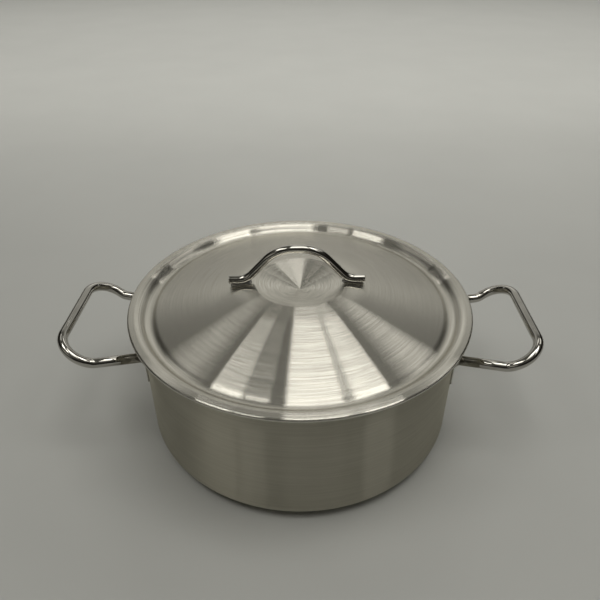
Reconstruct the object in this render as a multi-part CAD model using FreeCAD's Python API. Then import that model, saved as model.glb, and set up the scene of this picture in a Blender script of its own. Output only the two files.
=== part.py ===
import FreeCAD, Part

import math
import os

# Low two-handled stock pot with a loose lid, in millimetres.
# +Z is up, Z = 0 is the surface that the pot stands on, and the pot's axis is the Z axis.
# The two side handles lie along -X (left) and +X (right); -Y is the front.

Vector = FreeCAD.Vector
AXIS_START = Vector(0, 0, 0)
UP = Vector(0, 0, 1)

# Pot body: one drawn shell of constant sheet thickness.
body_radius = 160.0
body_sheet = 1.0
body_floor_z = 6.0
body_corner_radius = 9.0
rim_start_z = 134.0
rim_bend_radius = 6.0
rim_radius = 163.0
rim_z = 139.0

# Encapsulated base: an aluminium disc under the floor, closed in by a thin steel cap.
cap_radius = 148.0
cap_sheet = 0.8
cap_corner_radius = 2.5

# Lid: one pressed sheet with a flange, a groove that plugs into the pot,
# a cone up to a round ridge, and a shallow inverted cone inside the ridge.
lid_sheet = 0.8
lid_radius = 170.5
lid_lip_z = 137.9
lid_flange_outer_z = 140.7
lid_shoulder_radius = 159.8
lid_shoulder_z = 141.1
lid_groove_outer_radius = 153.6
lid_groove_inner_radius = 147.5
lid_groove_z = 133.7
lid_cone_foot_radius = 143.9
lid_cone_foot_z = 135.8
lid_crown_radius = 62.0
lid_crown_z = 156.9
lid_ridge_radius = 44.8
lid_ridge_z = 159.0
lid_centre_z = 148.8
lid_lip_bend = 1.8
lid_shoulder_bend = 10.0
lid_groove_outer_bend = 8.0
lid_groove_inner_bend = 7.0
lid_cone_foot_bend = 12.0
lid_crown_bend = 80.0
lid_ridge_bend = 3.0

# Lid handle: one bent round bar, welded down across the ridge.
lid_turn_deg = 2.1
lid_bar_radius = 4.0
lid_bar_shift = -3.0
lid_bar_half_length = 67.5
lid_bar_foot_z = 161.6
lid_bar_top_z = 195.3
lid_bar_foot_bend_x = 50.0
lid_bar_top_bend_x = 19.5
lid_bar_foot_bend = 18.0
lid_bar_top_bend = 36.0
lid_bar_end_chamfer = 0.6

# Lid handle welds: a saddle of weld metal under each foot of the bar.
lid_weld_start = 45.0
lid_weld_end = 66.0
lid_weld_half_width = 3.2
lid_weld_floor_z = 150.0

# Side handles: one bent round bar each, given as the right front quarter of its centre line.
bar_radius = 5.0
bar_foot = Vector(153.5, -48.6, 99.5)
bar_rise = Vector(201.2, -59.4, 100.0)
bar_corner = Vector(232.4, -69.7, 118.7)
bar_rise_bend = 15.0
bar_corner_bend = 25.0
bar_overrun = 12.0

# Handle plates: curved oval pads between the bars and the wall.
plate_sheet = 1.5
plate_height = 56.0
plate_width = 28.0

# Handle welds: a ring of weld metal round each bar where it meets its plate.
ring_weld_radius = 8.2
ring_weld_height = 3.4
ring_weld_sink = 1.5


def radial_point(radius, z):
    return Vector(radius, 0, z)


def rounded_path(corners, bends):
    """Edges of a path through the corners, with a tangent arc at each inner corner."""
    edges = []
    start = corners[0]
    for before, corner, after, bend in zip(corners, corners[1:], corners[2:], bends):
        to_before = (before - corner).normalize()
        to_after = (after - corner).normalize()
        half_angle = to_before.getAngle(to_after) / 2
        tangent_length = bend / math.tan(half_angle)
        arc_start = corner + to_before * tangent_length
        arc_end = corner + to_after * tangent_length
        bisector = (to_before + to_after).normalize()
        arc_middle = corner + bisector * (bend / math.sin(half_angle) - bend)
        edges.append(Part.LineSegment(start, arc_start).toShape())
        edges.append(Part.Arc(arc_start, arc_middle, arc_end).toShape())
        start = arc_end
    edges.append(Part.LineSegment(start, corners[-1]).toShape())
    return edges


def offset_corners(corners, distance):
    """Corners of the path at a distance to its right, in the XZ plane."""
    directions = [(end - start).normalize() for start, end in zip(corners, corners[1:])]
    normals = [Vector(way.z, 0, -way.x) for way in directions]
    moved = [corners[0] + normals[0] * distance]
    for corner, first, second in zip(corners[1:-1], normals, normals[1:]):
        moved.append(corner + (first + second) * (distance / (1 + first.dot(second))))
    moved.append(corners[-1] + normals[-1] * distance)
    return moved


def offset_bends(corners, bends, distance):
    """Bend radii of the offset path: smaller inside a turn and larger outside it."""
    moved = []
    for before, corner, after, bend in zip(corners, corners[1:], corners[2:], bends):
        turn = (corner - before).cross(after - corner).y
        moved.append(bend - distance if turn > 0 else bend + distance)
    return moved


def revolved(edges):
    outline = Part.Wire(Part.sortEdges(edges)[0])
    return Part.Face(outline).revolve(AXIS_START, UP, 360)


def sheet_of_revolution(corners, bends, thickness):
    """A pressed sheet: the path is one face of it, and the other lies to the path's right.

    The path's end on the axis is trimmed to the axis, so the sheet closes there.
    """
    inner = offset_corners(corners, thickness)
    slope = (corners[-1] - corners[-2]).normalize()
    inner[-1] = inner[-1] - slope * (inner[-1].x / slope.x)
    inner_bends = offset_bends(corners, bends, thickness)
    edges = rounded_path(corners, bends) + rounded_path(inner, inner_bends)
    edges.append(Part.LineSegment(corners[0], inner[0]).toShape())
    edges.append(Part.LineSegment(corners[-1], inner[-1]).toShape())
    return revolved(edges)


def round_bar(corners, bends, radius):
    path = Part.Wire(rounded_path(corners, bends))
    way = (corners[1] - corners[0]).normalize()
    section = Part.Wire(Part.Circle(corners[0], way, radius).toShape())
    return path.makePipeShell([section], True, False)


def upright_cylinder(radius, bottom, top):
    return Part.makeCylinder(radius, top - bottom, radial_point(0, bottom))


def turned_about_axis(shape, angle_deg):
    turned = shape.copy()
    turned.rotate(AXIS_START, UP, angle_deg)
    return turned


# Pot body group

def pot_body():
    corners = [
        radial_point(rim_radius, rim_z),
        radial_point(body_radius, rim_start_z),
        radial_point(body_radius, body_floor_z),
        radial_point(0, body_floor_z),
    ]
    return sheet_of_revolution(corners, [rim_bend_radius, body_corner_radius], body_sheet)


def base_cap():
    corners = [
        radial_point(cap_radius, body_floor_z),
        radial_point(cap_radius, 0),
        radial_point(0, 0),
    ]
    return sheet_of_revolution(corners, [cap_corner_radius], cap_sheet)


def base_core():
    core_radius = cap_radius - cap_sheet
    corners = [
        radial_point(core_radius, body_floor_z),
        radial_point(core_radius, cap_sheet),
        radial_point(0, cap_sheet),
    ]
    edges = rounded_path(corners, [cap_corner_radius - cap_sheet])
    centre_top = radial_point(0, body_floor_z)
    edges.append(Part.LineSegment(corners[-1], centre_top).toShape())
    edges.append(Part.LineSegment(centre_top, corners[0]).toShape())
    return revolved(edges)


# Side handles

def mirrored_front_to_back(point):
    return Vector(point.x, -point.y, point.z)


def foot_outward():
    """Direction of the bar where it leaves the right front plate."""
    return (bar_rise - bar_foot).normalize()


def full_side_bar():
    inner_end = bar_foot - foot_outward() * bar_overrun
    quarter = [inner_end, bar_rise, bar_corner]
    corners = quarter + [mirrored_front_to_back(point) for point in reversed(quarter)]
    bends = [bar_rise_bend, bar_corner_bend, bar_corner_bend, bar_rise_bend]
    return round_bar(corners, bends, bar_radius)


def plate_face_cylinder():
    """The cylinder through the outer faces of the handle plates."""
    return upright_cylinder(body_radius + plate_sheet, 0, rim_z)


def side_handle():
    return full_side_bar().cut(plate_face_cylinder())


def handle_plate():
    """The right front plate: an oval pad bent to the curve of the wall."""
    half_width = plate_width / 2
    straight = plate_height / 2 - half_width
    depth = 3 * plate_sheet
    start_x = body_radius - 2 * plate_sheet
    oval = Part.makeBox(depth, plate_width, 2 * straight, Vector(start_x, -half_width, -straight))
    for end_z in (-straight, straight):
        end = Part.makeCylinder(half_width, depth, Vector(start_x, 0, end_z), Vector(1, 0, 0))
        oval = oval.fuse(end)
    oval = oval.removeSplitter()
    oval.translate(Vector(0, 0, bar_foot.z))
    oval = turned_about_axis(oval, math.degrees(math.atan2(bar_foot.y, bar_foot.x)))
    return oval.common(plate_face_cylinder()).cut(upright_cylinder(body_radius, 0, rim_z))


def handle_ring_weld():
    """The weld metal round the right front foot."""
    way = foot_outward()
    radius = body_radius + plate_sheet
    plate_point = bar_foot * (radius / math.hypot(bar_foot.x, bar_foot.y))
    start = Vector(plate_point.x, plate_point.y, bar_foot.z) - way * ring_weld_sink
    height = ring_weld_height + ring_weld_sink
    cone = Part.makeCone(ring_weld_radius + ring_weld_sink, bar_radius, height, start, way)
    return cone.cut(full_side_bar()).cut(plate_face_cylinder())


def front_and_back(shape):
    back = shape.mirror(AXIS_START, Vector(0, 1, 0))
    return {"front": shape, "back": back}


def side_handle_parts():
    plates = front_and_back(handle_plate())
    welds = Part.makeCompound(list(front_and_back(handle_ring_weld()).values()))
    handle = side_handle()
    parts = {}
    for side, turn in (("right", 0), ("left", 180)):
        parts[side + "_handle"] = turned_about_axis(handle, turn)
        parts[side + "_handle_welds"] = turned_about_axis(welds, turn)
        for place, plate in plates.items():
            turned_place = place if turn == 0 else {"front": "back", "back": "front"}[place]
            parts[f"{side}_{turned_place}_handle_plate"] = turned_about_axis(plate, turn)
    return parts


# Lid

def lid_top_path():
    """The lid's upper face, from the lip to the centre."""
    corners = [
        radial_point(lid_radius, lid_lip_z),
        radial_point(lid_radius, lid_flange_outer_z),
        radial_point(lid_shoulder_radius, lid_shoulder_z),
        radial_point(lid_groove_outer_radius, lid_groove_z),
        radial_point(lid_groove_inner_radius, lid_groove_z),
        radial_point(lid_cone_foot_radius, lid_cone_foot_z),
        radial_point(lid_crown_radius, lid_crown_z),
        radial_point(lid_ridge_radius, lid_ridge_z),
        radial_point(0, lid_centre_z),
    ]
    bends = [
        lid_lip_bend,
        lid_shoulder_bend,
        lid_groove_outer_bend,
        lid_groove_inner_bend,
        lid_cone_foot_bend,
        lid_crown_bend,
        lid_ridge_bend,
    ]
    return corners, bends


def lid_shell():
    corners, bends = lid_top_path()
    return sheet_of_revolution(corners, bends, -lid_sheet)


def space_below_lid_face():
    corners, bends = lid_top_path()
    edges = rounded_path(corners, bends)
    centre_bottom = radial_point(0, corners[0].z)
    edges.append(Part.LineSegment(corners[-1], centre_bottom).toShape())
    edges.append(Part.LineSegment(centre_bottom, corners[0]).toShape())
    return revolved(edges)


def full_lid_bar():
    left_half = [
        Vector(-lid_bar_half_length, 0, lid_bar_foot_z),
        Vector(-lid_bar_foot_bend_x, 0, lid_bar_foot_z),
        Vector(-lid_bar_top_bend_x, 0, lid_bar_top_z),
    ]
    right_half = [Vector(-point.x, 0, point.z) for point in reversed(left_half)]
    bends = [lid_bar_foot_bend, lid_bar_top_bend, lid_bar_top_bend, lid_bar_foot_bend]
    bar = round_bar(left_half + right_half, bends, lid_bar_radius)
    end_edges = [
        edge for edge in bar.Edges
        if abs(abs(edge.CenterOfMass.x) - lid_bar_half_length) < 0.01
    ]
    bar = bar.makeChamfer(lid_bar_end_chamfer, end_edges)
    bar.translate(Vector(lid_bar_shift, 0, 0))
    return bar


def lid_handle():
    return turned_about_axis(full_lid_bar().cut(space_below_lid_face()), lid_turn_deg)


def lid_handle_welds():
    length = lid_weld_end - lid_weld_start
    height = lid_bar_foot_z - lid_weld_floor_z
    width = 2 * lid_weld_half_width
    saddles = []
    for start_x in (lid_weld_start, -lid_weld_end):
        corner = Vector(start_x + lid_bar_shift, -lid_weld_half_width, lid_weld_floor_z)
        block = Part.makeBox(length, width, height, corner)
        block = block.makeFillet(lid_weld_half_width * 0.9, upright_edges(block))
        saddles.append(block.cut(space_below_lid_face()).cut(full_lid_bar()))
    return turned_about_axis(Part.makeCompound(saddles), lid_turn_deg)


def upright_edges(block):
    return [edge for edge in block.Edges if abs(edge.tangentAt(edge.FirstParameter).z) > 0.99]


def all_parts():
    parts = {
        "pot_body": pot_body(),
        "base_core": base_core(),
        "base_cap": base_cap(),
        "lid_shell": lid_shell(),
        "lid_handle": lid_handle(),
        "lid_handle_welds": lid_handle_welds(),
    }
    parts.update(side_handle_parts())
    return parts


os.makedirs("parts", exist_ok=True)
for name, shape in all_parts().items():
    shape.exportStep(f"parts/{name}.step")
    print(f"{name}: {len(shape.Solids)} solids, {shape.Volume / 1000:.2f} cm3, valid {shape.isValid()}")
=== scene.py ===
import math

import bmesh
import bpy
from mathutils import Matrix, Vector


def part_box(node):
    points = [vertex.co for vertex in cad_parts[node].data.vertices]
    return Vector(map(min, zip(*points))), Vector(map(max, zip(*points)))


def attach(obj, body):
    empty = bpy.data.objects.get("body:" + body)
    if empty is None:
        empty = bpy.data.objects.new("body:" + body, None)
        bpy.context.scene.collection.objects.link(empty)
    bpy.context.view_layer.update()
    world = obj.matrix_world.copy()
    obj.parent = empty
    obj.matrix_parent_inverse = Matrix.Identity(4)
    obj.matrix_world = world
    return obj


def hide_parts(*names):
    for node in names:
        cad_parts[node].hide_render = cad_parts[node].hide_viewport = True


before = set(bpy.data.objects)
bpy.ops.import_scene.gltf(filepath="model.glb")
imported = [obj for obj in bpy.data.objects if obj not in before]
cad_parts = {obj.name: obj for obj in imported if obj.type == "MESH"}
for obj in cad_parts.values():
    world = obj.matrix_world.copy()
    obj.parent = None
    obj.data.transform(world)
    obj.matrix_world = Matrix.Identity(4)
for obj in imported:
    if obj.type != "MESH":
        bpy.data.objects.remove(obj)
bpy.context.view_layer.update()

# The look of a low two-handled steel pot with a loose lid. Lengths are in metres, and MM turns
# a length in millimetres into metres.
MM = 0.001
UP = Vector((0, 0, 1))

# The sizes that the frame gives.
lid_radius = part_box("lid_shell")[1].x
body_bottom_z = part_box("pot_body")[0].z
cap_top_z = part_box("base_cap")[1].z

# Pot body: a drawn sheet with an outward rim and a round bottom corner.
body_radius = 160 * MM
body_sheet = 1.0 * MM
body_corner_bend = 9 * MM
rim_radius = 163 * MM
rim_start_z = 134 * MM
rim_z = 139 * MM
rim_bend = 6 * MM

# Base cap: a shallow steel dish round the aluminium disc.
cap_radius = 148 * MM
cap_sheet = 0.8 * MM
cap_bend = 2.5 * MM

# Lid: the corners of its upper face from the lip to the centre, as radius and height.
lid_sheet = 0.8 * MM
lid_lip_z = 137.9 * MM
lid_flange_z = 140.7 * MM
lid_shoulder = (159.8 * MM, 141.1 * MM)
lid_groove_outer = (153.6 * MM, 133.7 * MM)
lid_groove_inner = (147.5 * MM, 133.7 * MM)
lid_cone_foot = (143.9 * MM, 135.8 * MM)
lid_crown = (62 * MM, 156.9 * MM)
lid_ridge = (44.8 * MM, 159.0 * MM)
lid_centre_z = 148.8 * MM
lid_bends = [bend * MM for bend in (1.8, 10, 8, 7, 12, 80, 3)]

# Lid handle: a bent bar, turned a little on the lid and set a little to the left. Half of its
# centre line is given, from its end past its foot to its top corner.
lid_turn = math.radians(2.1)
lid_bar_radius = 4 * MM
lid_bar_shift = -3 * MM
lid_bar_half = [(67.5 * MM, 161.6 * MM), (50 * MM, 161.6 * MM), (19.5 * MM, 195.3 * MM)]
lid_bar_bends = [bend * MM for bend in (18, 36, 36, 18)]
lid_bar_chamfer = 0.6 * MM

# Lid handle welds: where they start and end along the bar, their width, how deep they and the bar
# sink into the lid, and the width of their ends as a part of their middle's.
lid_weld_reach = (45 * MM, 66 * MM)
lid_weld_half_width = 3.2 * MM
lid_weld_sink = 0.3 * MM
lid_weld_top_z = lid_bar_half[0][1] - 0.55 * lid_bar_radius
lid_weld_end_width = 0.25
lid_weld_ripples = 9
lid_weld_ripple_depth = 0.08

# Side handles: the front half of the right bar's centre line.
bar_radius = 5 * MM
bar_foot = Vector((153.5, -48.6, 99.5)) * MM
bar_rise = Vector((201.2, -59.4, 100.0)) * MM
bar_corner = Vector((232.4, -69.7, 118.7)) * MM
bar_bends = [bend * MM for bend in (15, 25, 25, 15)]

# Handle plates: ovals with rounded edges, bent to the wall.
plate_sheet = 1.5 * MM
plate_height = 56 * MM
plate_width = 28 * MM
plate_edge = 0.6 * MM

# Weld rings round the bars' feet: their size, how far they reach into the bar, and the parts of
# their width and height that the ripples take.
ring_radius = 8.2 * MM
ring_height = 3.4 * MM
ring_sink = 0.3 * MM
ring_ripples = 22
ring_ripple_width = 0.1
ring_ripple_height = 0.12

# The studio: half the floor's side, and the height and colour of the light panels.
floor_half = 15.0
panel_height = 1.8
panel_colour = (1.0, 0.985, 0.93)

# The camera: its place, its tilt up from straight down, its turn to the left, and its field of view.
camera_place = (0.0063, -0.4833, 0.4687)
camera_tilt = math.radians(55.45)
camera_turn = math.radians(0.75)
camera_view = math.radians(55)

# How finely the meshes are divided, and how far a guard point is from the end of its run.
AROUND = 240
BAR_AROUND = 40
PLATE_AROUND = 72
RING_AROUND = 132
WELD_STEPS = 60
EDGE_STEPS = 8
CHAMFER_STEPS = 4
ARC_STEP = math.radians(3)
GUARD = 1.0 * MM


# ---------------------------------------------------------------- paths

def arc_points(centre, start, end, turn):
    """Points on the arc about the centre, from start to end, which are apart by the angle turn."""
    steps = max(3, math.ceil(turn / ARC_STEP))
    first = start - centre
    last = end - centre
    points = []
    for step in range(steps + 1):
        part = step / steps
        weights = math.sin((1 - part) * turn), math.sin(part * turn)
        points.append(centre + (first * weights[0] + last * weights[1]) / math.sin(turn))
    return points


def rounded_path(corners, bends):
    """Points of a path through the corners, with a tangent arc at each inner corner."""
    points = [corners[0]]
    for before, corner, after, bend in zip(corners, corners[1:], corners[2:], bends):
        to_before = (before - corner).normalized()
        to_after = (after - corner).normalized()
        half_angle = to_before.angle(to_after) / 2
        tangent_length = bend / math.tan(half_angle)
        centre = corner + (to_before + to_after).normalized() * (bend / math.sin(half_angle))
        arc_start = corner + to_before * tangent_length
        arc_end = corner + to_after * tangent_length
        points += arc_points(centre, arc_start, arc_end, math.pi - 2 * half_angle)
    points.append(corners[-1])
    return with_guard_points(points)


def with_guard_points(points):
    """The path with a point close to each end of its long runs, so that shading stays flat there."""
    guarded = [points[0]]
    for start, end in zip(points, points[1:]):
        run = end - start
        if run.length > 4 * GUARD:
            guarded.append(start + run.normalized() * GUARD)
            guarded.append(end - run.normalized() * GUARD)
        guarded.append(end)
    return guarded


def offset_corners(corners, distance):
    """Corners of the path at a distance to its right, in the XZ plane."""
    directions = [(end - start).normalized() for start, end in zip(corners, corners[1:])]
    normals = [Vector((way.z, 0, -way.x)) for way in directions]
    moved = [corners[0] + normals[0] * distance]
    for corner, first, second in zip(corners[1:-1], normals, normals[1:]):
        moved.append(corner + (first + second) * (distance / (1 + first.dot(second))))
    # The last point slides along its run until it is on the axis.
    last = corners[-1] + normals[-1] * distance
    moved.append(last - directions[-1] * (last.x / directions[-1].x))
    return moved


def offset_bends(corners, bends, distance):
    """Bend radii of the offset path: smaller inside a turn and larger outside it."""
    moved = []
    for before, corner, after, bend in zip(corners, corners[1:], corners[2:], bends):
        turn = (corner - before).cross(after - corner).y
        moved.append(bend - distance if turn > 0 else bend + distance)
    return moved


def sheet_outline(corners, bends, thickness):
    """The outline of a pressed sheet that ends on the axis, with a rounded free edge.

    The corners are on one face of the sheet. Its other face is to the right of the path, or to the
    left where thickness is negative.
    """
    face = rounded_path(corners, bends)
    inner = offset_corners(corners, thickness)
    back = rounded_path(inner, offset_bends(corners, bends, thickness))
    middle = (face[0] + back[0]) / 2
    outward = (face[0] - face[1]).normalized() * abs(thickness) / 2
    start = face[0] - middle
    edge = []
    for step in range(1, EDGE_STEPS):
        angle = math.pi * step / EDGE_STEPS
        edge.append(middle - outward + start * math.cos(angle) + outward * math.sin(angle))
    face[0] = face[0] - outward
    back[0] = back[0] - outward
    return list(reversed(face)) + edge + back


# ---------------------------------------------------------------- meshes

def new_piece(name, vertices, faces, material):
    """A smooth-shaded mesh object of one material, linked into the scene."""
    mesh = bpy.data.meshes.new(name)
    mesh.from_pydata(vertices, [], faces)
    mesh.validate()
    mesh.polygons.foreach_set("use_smooth", [True] * len(mesh.polygons))
    mesh.materials.append(material)
    piece = bpy.data.objects.new(name, mesh)
    bpy.context.scene.collection.objects.link(piece)
    return piece


def ring_faces(first, second, count):
    """Quads between two rings of vertices, given by the index of each ring's first vertex."""
    faces = []
    for index in range(count):
        following = (index + 1) % count
        faces.append((first + index, first + following, second + following, second + index))
    return faces


def revolved_mesh(outline):
    """A closed surface of revolution about Z; the outline starts and ends on the axis."""
    vertices = [Vector((0, 0, outline[0].z))]
    faces = []
    previous = None
    for point in outline[1:-1]:
        first = len(vertices)
        for index in range(AROUND):
            angle = math.tau * index / AROUND
            vertices.append(Vector((point.x * math.cos(angle), point.x * math.sin(angle), point.z)))
        if previous is None:
            faces += [(0, first + index, first + (index + 1) % AROUND) for index in range(AROUND)]
        else:
            faces += ring_faces(first, previous, AROUND)
        previous = first
    last = len(vertices)
    vertices.append(Vector((0, 0, outline[-1].z)))
    faces += [(last, previous + (index + 1) % AROUND, previous + index) for index in range(AROUND)]
    return vertices, faces


def tube_rings(path, radius):
    """Rings of points round the path, carried along it without twisting."""
    rings = []
    side = None
    for index, point in enumerate(path):
        way = (path[min(index + 1, len(path) - 1)] - path[max(index - 1, 0)]).normalized()
        if side is None:
            side = way.orthogonal().normalized()
        side = (side - way * side.dot(way)).normalized()
        other = way.cross(side)
        ring = []
        for step in range(BAR_AROUND):
            angle = math.tau * step / BAR_AROUND
            ring.append(point + (side * math.cos(angle) + other * math.sin(angle)) * radius)
        rings.append(ring)
    return rings


def closed_tube(rings):
    """A closed mesh through the rings, with a fan over each end."""
    around = len(rings[0])
    vertices = [point for ring in rings for point in ring]
    faces = []
    for index in range(len(rings) - 1):
        faces += ring_faces(index * around, (index + 1) * around, around)
    for ring_index, flip in ((0, True), (len(rings) - 1, False)):
        centre = len(vertices)
        vertices.append(sum(rings[ring_index], Vector()) / around)
        for step in range(around):
            edge = [ring_index * around + step, ring_index * around + (step + 1) % around]
            if flip:
                edge.reverse()
            faces.append((edge[0], edge[1], centre))
    return vertices, faces


def rounded_ends(rings, path, chamfer):
    """The rings with each end drawn in over a small rounded chamfer."""

    def drawn_in(ring, centre, outward):
        drawn = []
        for step in range(1, CHAMFER_STEPS + 1):
            angle = math.pi / 2 * step / CHAMFER_STEPS
            inward = chamfer * (1 - math.cos(angle))
            forward = chamfer * math.sin(angle)
            drawn.append([
                point + (centre - point).normalized() * inward + outward * forward
                for point in ring
            ])
        return drawn

    first_way = (path[0] - path[1]).normalized()
    last_way = (path[-1] - path[-2]).normalized()
    start = [[point - first_way * chamfer for point in rings[0]]]
    end = [[point - last_way * chamfer for point in rings[-1]]]
    start_caps = drawn_in(start[0], path[0] - first_way * chamfer, first_way)
    end_caps = drawn_in(end[0], path[-1] - last_way * chamfer, last_way)
    return list(reversed(start_caps)) + start + rings[1:-1] + end + end_caps


# ---------------------------------------------------------------- pieces

def lid_corners():
    """The corners of the lid's upper face, from the lower edge of its lip to the centre."""
    return [
        Vector((lid_radius, 0, lid_lip_z)),
        Vector((lid_radius, 0, lid_flange_z)),
        Vector((lid_shoulder[0], 0, lid_shoulder[1])),
        Vector((lid_groove_outer[0], 0, lid_groove_outer[1])),
        Vector((lid_groove_inner[0], 0, lid_groove_inner[1])),
        Vector((lid_cone_foot[0], 0, lid_cone_foot[1])),
        Vector((lid_crown[0], 0, lid_crown[1])),
        Vector((lid_ridge[0], 0, lid_ridge[1])),
        Vector((0, 0, lid_centre_z)),
    ]


def lid_sheet_mesh():
    return revolved_mesh(sheet_outline(lid_corners(), lid_bends, -lid_sheet))


def pot_shell_mesh():
    corners = [
        Vector((rim_radius, 0, rim_z)),
        Vector((body_radius, 0, rim_start_z)),
        Vector((body_radius, 0, body_bottom_z)),
        Vector((0, 0, body_bottom_z)),
    ]
    return revolved_mesh(sheet_outline(corners, [rim_bend, body_corner_bend], body_sheet))


def base_dish_mesh():
    corners = [
        Vector((cap_radius, 0, cap_top_z)),
        Vector((cap_radius, 0, 0)),
        Vector((0, 0, 0)),
    ]
    return revolved_mesh(sheet_outline(corners, [cap_bend], cap_sheet))


def lid_face_z(radius):
    """Height of the lid's upper face between the centre and the foot of its cone."""
    corners = [(0, lid_centre_z), lid_ridge, lid_crown, lid_cone_foot]
    heights = []
    for inner, outer in zip(corners, corners[1:]):
        slope = (outer[1] - inner[1]) / (outer[0] - inner[0])
        heights.append(inner[1] + (radius - inner[0]) * slope)
    return min(heights)


def on_lid(point):
    """The point moved to the lid handle's place; it sinks no deeper than a little into the lid."""
    placed = Matrix.Rotation(lid_turn, 3, UP) @ (point + Vector((lid_bar_shift, 0, 0)))
    placed.z = max(placed.z, lid_face_z(math.hypot(placed.x, placed.y)) - lid_weld_sink)
    return placed


def lid_bar_mesh():
    left = [Vector((-x, 0, z)) for x, z in lid_bar_half]
    right = [Vector((x, 0, z)) for x, z in reversed(lid_bar_half)]
    path = rounded_path(left + right, lid_bar_bends)
    rings = rounded_ends(tube_rings(path, lid_bar_radius), path, lid_bar_chamfer)
    vertices, faces = closed_tube(rings)
    return [on_lid(vertex) for vertex in vertices], faces


def side_bar_mesh(turn):
    """The bent bar of the right handle, turned about the pot's axis to its side."""
    front = [bar_foot, bar_rise, bar_corner]
    corners = front + [Vector((point.x, -point.y, point.z)) for point in reversed(front)]
    path = rounded_path(corners, bar_bends)
    rings = tube_rings(path, bar_radius)
    # The two rings nearest each foot are under the plate's face or close to it, so one ring on the
    # face replaces them.
    first = [on_plate_face(point, path[0] - path[1]) for point in rings[0]]
    last = [on_plate_face(point, path[-1] - path[-2]) for point in rings[-1]]
    vertices, faces = closed_tube([first] + rings[2:-2] + [last])
    spin = Matrix.Rotation(turn, 3, UP)
    return [spin @ vertex for vertex in vertices], faces


def on_plate_face(point, way):
    """The point moved along the way to the outer face of the handle plates."""
    target = body_radius + plate_sheet
    way = way.normalized()
    steepness = way.x ** 2 + way.y ** 2
    outward = point.x * way.x + point.y * way.y
    excess = point.x ** 2 + point.y ** 2 - target ** 2
    root = math.copysign(math.sqrt(outward ** 2 - steepness * excess), outward)
    return point + way * ((root - outward) / steepness)


def plate_mesh(azimuth):
    """An oval plate bent to the wall, with rounded edges, at the azimuth."""
    half_width = plate_width / 2
    straight = plate_height / 2 - half_width
    outline = []
    for index in range(PLATE_AROUND):
        angle = math.tau * index / PLATE_AROUND
        lift = straight if math.sin(angle) >= 0 else -straight
        outline.append((half_width * math.cos(angle), half_width * math.sin(angle), lift))
    # Each level is how far its ring is drawn in from the plate's side, and its height off the wall.
    levels = [(0, 0), (0, plate_sheet - plate_edge)]
    for step in range(1, CHAMFER_STEPS + 1):
        angle = math.pi / 2 * step / CHAMFER_STEPS
        inset = plate_edge * (1 - math.cos(angle))
        height = plate_sheet - plate_edge * (1 - math.sin(angle))
        levels.append((inset, height))
    # The rest are rings on the flat face, each a part of the plate's size.
    for part in (0.75, 0.5, 0.25, 0.05):
        levels.append((half_width * (1 - part), plate_sheet))
    rings = []
    for inset, height in levels:
        shrink = 1 - inset / half_width
        ring = []
        for across, along, lift in outline:
            turn = azimuth + across * shrink / body_radius
            radius = body_radius + height
            z = bar_foot.z + along * shrink + lift
            ring.append(Vector((radius * math.cos(turn), radius * math.sin(turn), z)))
        rings.append(ring)
    return closed_tube(rings)


def weld_ring_mesh(foot, way):
    """A ring of rippled weld metal round the bar's foot, standing on the plate's face."""
    side = way.orthogonal().normalized()
    other = way.cross(side)
    # The concave outer face of the weld: each point's part of the height, and of the width.
    section = [(0.0, 1.0), (0.12, 0.86), (0.3, 0.62), (0.5, 0.4), (0.72, 0.2), (0.92, 0.05), (1.0, 0.0)]
    inner_radius = bar_radius - ring_sink
    rings = []
    for index in range(RING_AROUND):
        angle = math.tau * index / RING_AROUND
        hollow = 1 - abs(math.sin(angle * ring_ripples / 2))
        full_width = (ring_radius - bar_radius) * (1 - ring_ripple_width * hollow)
        full_height = ring_height * (1 - ring_ripple_height * hollow)
        direction = side * math.cos(angle) + other * math.sin(angle)
        ring = []
        for rise, spread in section:
            radius = bar_radius + full_width * spread
            height = full_height * rise
            on_plate = on_plate_face(foot + direction * radius, way)
            ring.append(on_plate + way * height)
        inner_foot = on_plate_face(foot + direction * inner_radius, way)
        ring.append(inner_foot + way * ring_height * 0.85)
        ring.append(inner_foot)
        rings.append(ring)
    return looped_rings(rings)


def looped_rings(rings):
    """A closed mesh through rings that follow each other round a loop."""
    size = len(rings[0])
    vertices = [point for ring in rings for point in ring]
    faces = []
    for index in range(len(rings)):
        faces += ring_faces(index * size, (index + 1) % len(rings) * size, size)
    return vertices, faces


def joined(meshes):
    """The meshes as one mesh."""
    vertices = []
    faces = []
    for mesh_vertices, mesh_faces in meshes:
        start = len(vertices)
        vertices += mesh_vertices
        faces += [tuple(index + start for index in face) for face in mesh_faces]
    return vertices, faces


def side_weld_mesh(turn):
    """The weld rings at both feet of the right handle, turned about the pot's axis to its side."""
    way = (bar_rise - bar_foot).normalized()
    front = weld_ring_mesh(bar_foot, way)
    mirror = Matrix.Scale(-1, 3, Vector((0, 1, 0)))
    back = [mirror @ vertex for vertex in front[0]], [tuple(reversed(face)) for face in front[1]]
    vertices, faces = joined([front, back])
    spin = Matrix.Rotation(turn, 3, UP)
    return [spin @ vertex for vertex in vertices], faces


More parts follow.
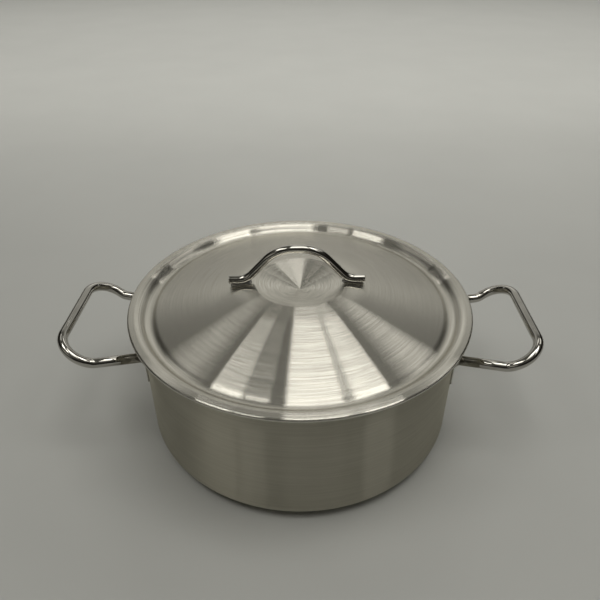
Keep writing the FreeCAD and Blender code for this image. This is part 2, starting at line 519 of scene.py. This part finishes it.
def lid_weld_mesh(side):
    """Rippled weld metal under one foot of the lid handle, between the bar and the lid."""
    start, end = lid_weld_reach
    # The weld's section up one side and down the other, as parts of its half width and its height.
    section = [(1.0, 0.0), (0.96, 0.3), (0.86, 0.6), (0.84, 1.0)]
    section += [(-spread, rise) for spread, rise in reversed(section)]
    rings = []
    for step in range(WELD_STEPS + 1):
        part = step / WELD_STEPS
        along = start + (end - start) * part
        edge = min(part, 1 - part) * (end - start) / lid_weld_half_width
        fullness = math.sqrt(max(0.0, 1 - max(0.0, 1 - edge) ** 2))
        hollow = 1 - abs(math.sin(part * math.pi * lid_weld_ripples))
        half = lid_weld_half_width * (1 - lid_weld_ripple_depth * hollow)
        half *= lid_weld_end_width + (1 - lid_weld_end_width) * fullness
        low = lid_face_z(along) - 2 * lid_weld_sink
        ring = []
        for spread, rise in section:
            z = low + (lid_weld_top_z - low) * rise
            ring.append(on_lid(Vector((side * along, half * spread, z))))
        rings.append(ring)
    return closed_tube(rings)


def lid_welds_mesh():
    return joined([lid_weld_mesh(1), lid_weld_mesh(-1)])


# ---------------------------------------------------------------- material graphs

class Graph:
    """A node tree, and short calls that add nodes to it."""

    def __init__(self, owner):
        owner.use_nodes = True
        self.owner = owner
        self.tree = owner.node_tree
        self.shader = self.tree.nodes.get("Principled BSDF")

    def node(self, kind, inputs=(), **settings):
        """A new node with its first inputs fed in order."""
        made = self.tree.nodes.new(kind)
        for key, value in settings.items():
            setattr(made, key, value)
        for socket, value in zip(made.inputs, inputs):
            self.feed(socket, value)
        return made

    def feed(self, socket, value):
        """Link the value to the socket if it is another node's output, or else set it there."""
        if isinstance(value, bpy.types.NodeSocket):
            self.tree.links.new(value, socket)
        else:
            socket.default_value = value

    def maths(self, operation, *inputs, clamp=False):
        return self.node("ShaderNodeMath", inputs, operation=operation, use_clamp=clamp).outputs[0]

    def vector(self, operation, *inputs):
        return self.node("ShaderNodeVectorMath", inputs, operation=operation).outputs[0]

    def scaled(self, vector, scale):
        made = self.node("ShaderNodeVectorMath", (vector,), operation="SCALE")
        self.feed(made.inputs["Scale"], scale)
        return made.outputs[0]

    def joined(self, x, y, z):
        return self.node("ShaderNodeCombineXYZ", (x, y, z)).outputs[0]

    def parts(self, vector):
        return self.node("ShaderNodeSeparateXYZ", (vector,)).outputs

    def place(self):
        return self.node("ShaderNodeTexCoord").outputs["Object"]

    def noise(self, vector, scale=1.0, detail=2.0, roughness=0.5, distortion=0.0):
        made = self.node("ShaderNodeTexNoise")
        self.feed(made.inputs["Vector"], vector)
        made.inputs["Scale"].default_value = scale
        made.inputs["Detail"].default_value = detail
        made.inputs["Roughness"].default_value = roughness
        made.inputs["Distortion"].default_value = distortion
        return made.outputs[0]

    def spread(self, value, low, high, to_low, to_high):
        """The value moved from the range low to high into to_low to to_high, and kept in it."""
        return self.node("ShaderNodeMapRange", (value, low, high, to_low, to_high)).outputs[0]

    def blend(self, factor, first, second):
        """A colour from the first, where factor is 0, to the second, where it is 1."""
        made = self.node("ShaderNodeMix", data_type="RGBA")
        self.feed(made.inputs["Factor"], factor)
        self.feed(made.inputs[6], first)
        self.feed(made.inputs[7], second)
        return made.outputs[2]

    def bump(self, height, strength, distance):
        made = self.node("ShaderNodeBump")
        made.inputs["Strength"].default_value = strength
        made.inputs["Distance"].default_value = distance
        self.feed(made.inputs["Height"], height)
        return made.outputs[0]

    def metal(self, colour, roughness, normal):
        """Make the material's own shader a metal."""
        self.feed(self.shader.inputs["Base Color"], colour)
        self.feed(self.shader.inputs["Metallic"], 1.0)
        self.feed(self.shader.inputs["Roughness"], roughness)
        self.feed(self.shader.inputs["Normal"], normal)


def rgb(red, green, blue):
    return (red, green, blue, 1.0)


def around_axis(graph):
    """Distance from the axis, height, and the cosine and sine of the direction round the axis."""
    x, y, z = graph.parts(graph.place())
    squares = graph.maths("ADD", graph.maths("MULTIPLY", x, x), graph.maths("MULTIPLY", y, y))
    radius = graph.maths("SQRT", squares)
    # This keeps the divisions off zero on the axis.
    safe = graph.maths("MAXIMUM", radius, 0.5 * MM)
    return radius, z, graph.maths("DIVIDE", x, safe), graph.maths("DIVIDE", y, safe)


def turned_steel(name, light, dark, spread_across, spread_along, lines, base_roughness):
    """Steel with turning lines round the Z axis.

    The finest lines are too close to see, so they are in the shader: spread_across and spread_along
    are how far they spread a highlight across and along themselves. lines is how much the lines
    that can be seen tilt the surface.
    """
    graph = Graph(bpy.data.materials.new(name))
    radius, height, cosine, sine = around_axis(graph)
    # This changes from line to line on flat faces, on cones and on upright walls.
    across = graph.maths("MULTIPLY_ADD", height, -0.4, radius)

    def line_noise(density, wander):
        """Noise about 0 with density changes in a metre across the lines and few along them."""
        place = graph.joined(
            graph.maths("MULTIPLY", across, density),
            graph.maths("MULTIPLY", cosine, wander),
            graph.maths("MULTIPLY", sine, wander),
        )
        return graph.maths("SUBTRACT", graph.noise(place, detail=1.0), 0.5)

    fine = line_noise(density=1650.0, wander=2.4)
    broad = line_noise(density=800.0, wander=1.8)
    seen = graph.maths("MULTIPLY_ADD", broad, 0.25, fine)

    # Each line that can be seen tilts the surface across itself.
    normal = graph.node("ShaderNodeNewGeometry").outputs["Normal"]
    round_way = graph.joined(graph.maths("MULTIPLY", sine, -1.0), cosine, 0.0)
    across_way = graph.vector("CROSS_PRODUCT", normal, round_way)
    tilted = graph.vector("ADD", normal, graph.scaled(across_way, graph.maths("MULTIPLY", seen, lines)))
    tilted = graph.vector("NORMALIZE", tilted)

    # Cloudy handling marks are darker and duller, and the lines change the colour a little.
    cloud = graph.noise(graph.place(), scale=16.0, detail=3.0, roughness=0.5, distortion=0.5)
    marks = graph.spread(cloud, 0.42, 0.68, 0.0, 1.0)
    base_tone = graph.maths("MULTIPLY_ADD", marks, 0.25, 0.35)
    tone = graph.maths("MULTIPLY_ADD", seen, 2.2, base_tone, clamp=True)
    colour = graph.blend(tone, light, dark)
    rough = graph.maths("MULTIPLY_ADD", marks, 0.08, base_roughness)
    graph.metal(colour, rough, tilted)

    turned = graph.node("ShaderNodeBsdfAnisotropic", distribution="BECKMANN")
    # The shader squares its roughness. These two numbers make the square equal to spread_along
    # along the lines and to spread_across across them.
    turned.inputs["Anisotropy"].default_value = 1 - math.sqrt(spread_along / spread_across)
    middle = (spread_across * spread_along) ** 0.25
    graph.feed(turned.inputs["Roughness"], graph.maths("MULTIPLY_ADD", marks, middle * 0.06, middle))
    graph.feed(turned.inputs["Color"], colour)
    graph.feed(turned.inputs["Normal"], tilted)
    graph.feed(turned.inputs["Tangent"], round_way)
    turned_share = 0.88
    mixed = graph.node("ShaderNodeMixShader", (turned_share, graph.shader.outputs[0], turned.outputs[0]))
    graph.feed(graph.tree.nodes["Material Output"].inputs["Surface"], mixed.outputs[0])
    return graph.owner


def polished_steel(name, light, dark, roughness, grain):
    """Smooth drawn bar: faint handling marks and a very fine uneven surface."""
    graph = Graph(bpy.data.materials.new(name))
    cloud = graph.noise(graph.place(), scale=60.0, detail=4.0, roughness=0.6, distortion=0.4)
    fine = graph.noise(graph.place(), scale=700.0, detail=3.0, roughness=0.6)
    marks = graph.spread(cloud, 0.4, 0.7, 0.0, 1.0)
    rough = graph.maths("MULTIPLY_ADD", marks, 0.03, roughness)
    rough = graph.maths("MULTIPLY_ADD", graph.maths("SUBTRACT", fine, 0.5), 0.04, rough)
    graph.metal(graph.blend(marks, light, dark), rough, graph.bump(fine, grain, 0.06 * MM))
    return graph.owner


def weld_steel(name):
    """Cooled weld metal: duller than the bars, lumpy, with warm and grey stains and dark pits."""
    graph = Graph(bpy.data.materials.new(name))
    lumps = graph.noise(graph.place(), scale=420.0, detail=3.0, roughness=0.65)
    stains = graph.noise(graph.place(), scale=130.0, detail=2.0, roughness=0.5)
    stained = graph.spread(stains, 0.35, 0.65, 0.0, 1.0)
    colour = graph.blend(stained, rgb(0.46, 0.44, 0.40), rgb(0.34, 0.33, 0.31))
    pitted = graph.spread(lumps, 0.45, 0.7, 0.0, 1.0)
    colour = graph.blend(pitted, colour, rgb(0.20, 0.195, 0.19))
    graph.metal(colour, graph.spread(lumps, 0.3, 0.7, 0.28, 0.5), graph.bump(lumps, 0.5, 0.3 * MM))
    return graph.owner


def cast_aluminium(name):
    """Dull grainy aluminium with a faint cloud of two greys."""
    graph = Graph(bpy.data.materials.new(name))
    grain = graph.noise(graph.place(), scale=500.0, detail=3.0, roughness=0.6)
    cloud = graph.noise(graph.place(), scale=40.0, detail=3.0, roughness=0.5)
    clouded = graph.spread(cloud, 0.35, 0.65, 0.0, 1.0)
    colour = graph.blend(clouded, rgb(0.62, 0.62, 0.63), rgb(0.50, 0.50, 0.51))
    graph.metal(colour, graph.spread(grain, 0.3, 0.7, 0.35, 0.5), graph.bump(grain, 0.3, 0.2 * MM))
    return graph.owner


def plain_floor(name):
    """A matt pale grey that is almost even."""
    graph = Graph(bpy.data.materials.new(name))
    cloud = graph.noise(graph.place(), scale=5.0, detail=3.0, roughness=0.5)
    clouded = graph.spread(cloud, 0.3, 0.7, 0.0, 1.0)
    colour = graph.blend(clouded, rgb(0.55, 0.555, 0.537), rgb(0.53, 0.535, 0.518))
    graph.feed(graph.shader.inputs["Base Color"], colour)
    graph.feed(graph.shader.inputs["Roughness"], 0.55)
    return graph.owner


# ---------------------------------------------------------------- the object

def add_piece(name, mesh, material, body):
    """Add the piece that stands in for the CAD node of the same name without _look."""
    vertices, faces = mesh
    piece = new_piece(name, vertices, faces, material)
    shape = bmesh.new()
    shape.from_mesh(piece.data)
    bmesh.ops.recalc_face_normals(shape, faces=shape.faces)
    shape.to_mesh(piece.data)
    shape.free()
    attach(piece, body)
    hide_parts(name.removesuffix("_look"))


def add_pot(steels):
    """The pot with its base, handles, plates and welds."""
    add_piece("pot_body_look", pot_shell_mesh(), steels["body"], "pot")
    add_piece("base_cap_look", base_dish_mesh(), steels["base"], "pot")
    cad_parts["base_core"].material_slots[0].material = steels["core"]
    foot_azimuth = math.atan2(bar_foot.y, bar_foot.x)
    for side, turn in (("right", 0.0), ("left", math.pi)):
        add_piece(side + "_handle_look", side_bar_mesh(turn), steels["bar"], "pot")
        add_piece(side + "_handle_welds_look", side_weld_mesh(turn), steels["weld"], "pot")
        # Half a turn about the axis brings the right handle's front foot to the left handle's back.
        first, second = ("front", "back") if side == "right" else ("back", "front")
        for place, azimuth in ((first, turn + foot_azimuth), (second, turn - foot_azimuth)):
            name = side + "_" + place + "_handle_plate_look"
            add_piece(name, plate_mesh(azimuth), steels["plate"], "pot")


def add_lid(steels):
    """The lid with its handle and welds."""
    add_piece("lid_shell_look", lid_sheet_mesh(), steels["lid"], "lid")
    add_piece("lid_handle_look", lid_bar_mesh(), steels["bar"], "lid")
    add_piece("lid_handle_welds_look", lid_welds_mesh(), steels["weld"], "lid")


def steel_finishes():
    """The object's materials, by the part of it that they are for."""
    return {
        "lid": turned_steel(
            "lid turned steel", rgb(0.68, 0.66, 0.60), rgb(0.545, 0.525, 0.475),
            spread_across=0.26, spread_along=0.005, lines=0.2, base_roughness=0.4,
        ),
        "body": turned_steel(
            "body turned steel", rgb(0.63, 0.605, 0.515), rgb(0.57, 0.545, 0.46),
            spread_across=0.8, spread_along=0.01, lines=0.12, base_roughness=0.5,
        ),
        # The base dish's steel is much darker than the body's. This is painted shade, so that the gap
        # under the pot's bottom corner looks dark.
        "base": turned_steel(
            "base steel painted dark for shade", rgb(0.36, 0.35, 0.32), rgb(0.28, 0.27, 0.25),
            spread_across=0.3, spread_along=0.05, lines=0.2, base_roughness=0.45,
        ),
        "plate": turned_steel(
            "plate brushed steel", rgb(0.55, 0.54, 0.49), rgb(0.44, 0.43, 0.39),
            spread_across=0.2, spread_along=0.06, lines=0.1, base_roughness=0.4,
        ),
        "bar": polished_steel(
            "polished bar steel", rgb(0.53, 0.515, 0.48), rgb(0.45, 0.435, 0.40),
            roughness=0.04, grain=0.1,
        ),
        "weld": weld_steel("weld steel"),
        "core": cast_aluminium("base core aluminium"),
    }


# ---------------------------------------------------------------- the studio

def add_floor():
    half = floor_half
    corners = [(-half, -half, 0), (half, -half, 0), (half, half, 0), (-half, half, 0)]
    floor = new_piece("floor", corners, [(0, 1, 2, 3)], plain_floor("pale floor"))


def add_light_panel(name, left, right, front, back, turn, brightness):
    """A soft light facing down, as wide as left to right in the middle of its depth.

    turn swings its two sides round, in degrees. brightness is how bright its face is, whatever its
    size.
    """
    swing = math.radians(turn)
    data = bpy.data.lights.new(name, "AREA")
    data.shape = "RECTANGLE"
    data.size = (right - left) * math.cos(swing)
    data.size_y = (back - front) / math.cos(swing)
    data.energy = brightness * math.pi * data.size * data.size_y
    data.color = panel_colour
    light = bpy.data.objects.new(name, data)
    light.location = ((left + right) / 2, (front + back) / 2, panel_height)
    light.rotation_euler = (0, 0, swing)
    light.visible_camera = False
    bpy.context.scene.collection.objects.link(light)
    return light


def add_floor_wash(name, middle, height, depth, tilt, brightness):
    """A long light that leans away from the pot, so that it brightens only the floor behind it."""
    light = add_light_panel(name, -3.0, 3.0, middle - depth / 2, middle + depth / 2, 0, brightness)
    light.location.z = height
    light.rotation_euler = (math.radians(tilt), 0, 0)


def add_lights():
    """The panels over and round the pot, and the two lights for the floor behind it."""
    # Each has its name, its left, right, front and back, its turn and its brightness.
    panels = [
        ("panel_left", -1.32, -0.66, -0.5, 0.0, -36, 4.0),
        ("panel_left_middle", -0.82, -0.42, -0.9, -0.45, -22, 3.2),
        ("panel_middle", -0.13, 0.455, -0.2, 0.25, 5, 3.0),
        ("panel_middle_front", -0.17, 0.51, -0.5, -0.2, 8, 2.6),
        ("panel_right", 0.56, 1.22, -0.45, 0.22, 33, 3.7),
        ("panel_front_middle", -0.2, 0.62, -0.95, -0.55, 8, 1.2),
        ("panel_front_right", 1.0, 1.75, -0.95, -0.5, 33, 1.1),
        ("panel_behind", -0.1, 0.42, 0.9, 1.3, 0, 1.4),
        ("side_panel_left", -1.45, -0.92, 0.45, 1.3, 0, 0.75),
        ("side_panel_right", 1.02, 1.95, 0.45, 1.3, 0, 1.1),
    ]
    for panel in panels:
        add_light_panel(*panel)
    add_floor_wash("near_wash", 1.05, 1.1, 0.5, 42, 2.6)
    add_floor_wash("far_wash", 2.4, 1.9, 1.4, 50, 1.9)


def add_world():
    """The room that the steel reflects, by the direction x, y, z from the pot.

    There is a pale wall behind the pot, brightest in its middle, a window at the front left, a dark
    room elsewhere and a dim ceiling. The camera itself sees an even pale grey in place of them.
    """
    world = bpy.data.worlds.new("studio")
    bpy.context.scene.world = world
    graph = Graph(world)
    x, y, z = graph.parts(graph.node("ShaderNodeTexCoord").outputs["Generated"])

    # The dark room, a little lighter in front, with its window. It is darkest below the window.
    window_way = graph.maths("MULTIPLY_ADD", x, -0.77, graph.maths("MULTIPLY", y, -0.64))
    window = graph.spread(window_way, 0.8, 0.97, 0.0, 1.0)
    front = graph.spread(y, -0.85, -0.35, 1.0, 0.0)
    room = graph.blend(front, rgb(0.015, 0.0145, 0.0125), rgb(0.05, 0.0485, 0.043))
    room = graph.blend(window, room, rgb(0.95, 0.92, 0.82))
    room = graph.blend(graph.spread(z, 0.2, 0.5, 0.0, 1.0), rgb(0.012, 0.011, 0.009), room)

    # The wall, darker near its foot.
    sideways = graph.maths("ABSOLUTE", x)
    centre = graph.spread(sideways, 0.05, 0.3, 1.0, 0.0)
    high_wall = graph.blend(centre, rgb(0.48, 0.475, 0.44), rgb(0.88, 0.87, 0.81))
    wall = graph.blend(graph.spread(z, 0.22, 0.4, 0.0, 1.0), rgb(0.235, 0.23, 0.212), high_wall)

    # The wall fills the view behind the pot, and the ceiling is over wall and room.
    wall_way = graph.maths("SUBTRACT", graph.maths("MULTIPLY", y, 0.72), sideways)
    behind = graph.spread(wall_way, -0.12, 0.08, 0.0, 1.0)
    level = graph.blend(behind, room, wall)
    light = graph.blend(graph.spread(z, 0.5, 0.74, 0.0, 1.0), level, rgb(0.11, 0.108, 0.095))
    seen = graph.node("ShaderNodeLightPath").outputs["Is Camera Ray"]
    background = graph.tree.nodes["Background"]
    graph.feed(background.inputs["Color"], graph.blend(seen, light, rgb(0.62, 0.625, 0.61)))


def add_camera():
    data = bpy.data.cameras.new("camera")
    data.angle = camera_view
    camera = bpy.data.objects.new("camera", data)
    camera.location = camera_place
    camera.rotation_euler = (camera_tilt, 0, camera_turn)
    bpy.context.scene.collection.objects.link(camera)
    bpy.context.scene.camera = camera


steels = steel_finishes()
add_pot(steels)
add_lid(steels)
add_floor()
add_lights()
add_world()
add_camera()
bpy.context.scene.view_settings.view_transform = "Standard"
